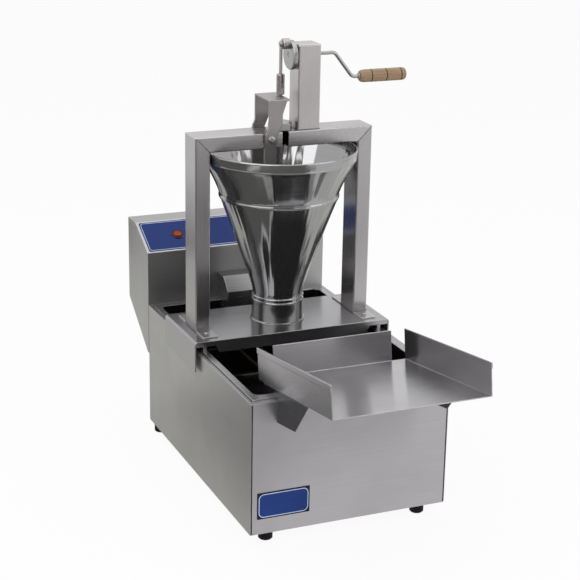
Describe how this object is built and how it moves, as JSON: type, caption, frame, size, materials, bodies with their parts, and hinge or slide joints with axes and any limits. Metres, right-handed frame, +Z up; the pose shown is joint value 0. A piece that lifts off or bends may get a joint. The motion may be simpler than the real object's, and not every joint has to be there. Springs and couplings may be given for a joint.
{
  "type": "donut filler machine",
  "caption": "Countertop donut fryer: oil bath with rear control head, tilted drain tray and a hand-cranked dough filler with conical hopper on a gantry",
  "frame": {"origin": "middle of the machine's footprint, with the drain tray, the control head and the crank grip, on the worktop", "axes": "+Z up, +Y from the drain tray towards the control head, +X towards the crank grip"},
  "size_m": [0.392, 0.7972, 0.718],
  "materials": {
    "casing_steel": "brushed stainless sheet, fine lengthways grain, lightly handled",
    "bath_steel": "drawn stainless bath, duller than the casing",
    "frame_steel": "brushed stainless tube and sheet",
    "yoke_steel": "cut stainless plate, edges dressed by hand",
    "polished_steel": "mirror polished stainless, spun",
    "collar_steel": "turned stainless tube, satin",
    "tray_steel": "bright rolled stainless sheet with soft reflections",
    "plated_steel": "bright turned or plated steel",
    "bush_metal": "plain turned bearing metal",
    "element_sheath": "heat browned tube",
    "foot_rubber": "plain black rubber",
    "black_plastic": "moulded, lightly satin",
    "grip_wood": "turned light hardwood, oiled, grooves burnt dark"
  },
  "bodies": {
    "machine": {"casing_wrap": "casing_steel", "front_panel": "casing_steel", "base_plate": "casing_steel", "feet": "foot_rubber", "oil_bath": "bath_steel", "head_casing": "casing_steel", "head_back_cover": "casing_steel", "cord_gland": "black_plastic", "switch_bezel": "black_plastic", "thermostat_body": "black_plastic", "thermostat_nut": "plated_steel", "element_hood": "frame_steel", "heating_element": "element_sheath", "element_clamp": "casing_steel"},
    "filler_unit": {"bridge_saddle": "frame_steel", "bridge_rails": "frame_steel", "gantry_beam": "frame_steel", "gantry_post_left": "frame_steel", "gantry_post_right": "frame_steel", "gantry_foot_plates": "frame_steel", "foot_bolts": "plated_steel", "crank_column": "frame_steel", "column_cap": "frame_steel", "shaft_bushes": "bush_metal", "hopper_lower": "polished_steel", "hopper_upper": "polished_steel", "hopper_collar": "collar_steel", "centre_rod": "plated_steel", "forming_disc": "polished_steel", "former_nut": "plated_steel", "lock_nut": "plated_steel", "under_nut": "plated_steel"},
    "crank": {"crank_shaft": "plated_steel", "crank_disc": "plated_steel", "disc_screw": "plated_steel", "crank_pin_bush": "plated_steel", "grip_end_nut": "plated_steel", "grip_stop_ring": "plated_steel"},
    "grip": {"wooden_grip": "grip_wood"},
    "plunger": {"yoke_bracket": "yoke_steel", "yoke_bolts": "plated_steel", "clevis": "yoke_steel", "clevis_pin": "plated_steel", "connecting_link": "yoke_steel", "link_pin_cap": "plated_steel", "plunger_hanger": "yoke_steel", "plunger_sleeve": "polished_steel"},
    "switch": {"rocker_switch": "black_plastic"},
    "thermostat": {"thermostat_knob": "black_plastic"},
    "tray": {"drain_tray": "tray_steel", "tray_brackets": "tray_steel"}
  },
  "joints": [
    {"name": "filler_lift", "type": "slide", "parent": "machine", "child": "filler_unit", "axis": [0, 0, 1], "range_m": [0, 0.15]},
    {"name": "crank_turn", "type": "hinge", "parent": "filler_unit", "child": "crank", "pos_m": [0.018, 0.09485, 0.6915], "axis": [1, 0, 0], "range_deg": [0, 180]},
    {"name": "plunger_slide", "type": "slide", "parent": "filler_unit", "child": "plunger", "axis": [0, 0, -1], "range_m": [0, 0.036]},
    {"name": "grip_spin", "type": "hinge", "parent": "crank", "child": "grip", "pos_m": [0.153, 0.09485, 0.6505], "axis": [1, 0, 0], "continuous": true},
    {"name": "switch_rock", "type": "hinge", "parent": "machine", "child": "switch", "pos_m": [-0.1235, 0.3156, 0.346], "axis": [1, 0, 0], "range_deg": [0, 16]},
    {"name": "thermostat_turn", "type": "hinge", "parent": "machine", "child": "thermostat", "pos_m": [0.0605, 0.3156, 0.346], "axis": [0, -0.4753, 0.8799], "range_deg": [-270, 0]},
    {"name": "tray_lift", "type": "slide", "parent": "machine", "child": "tray", "axis": [0, 0, 1], "range_m": [0, 0.12]}
  ],
  "couplings": [
    {"joint": "plunger_slide", "follows": "crank_turn", "m_per_rad": 0.01145}
  ]
}
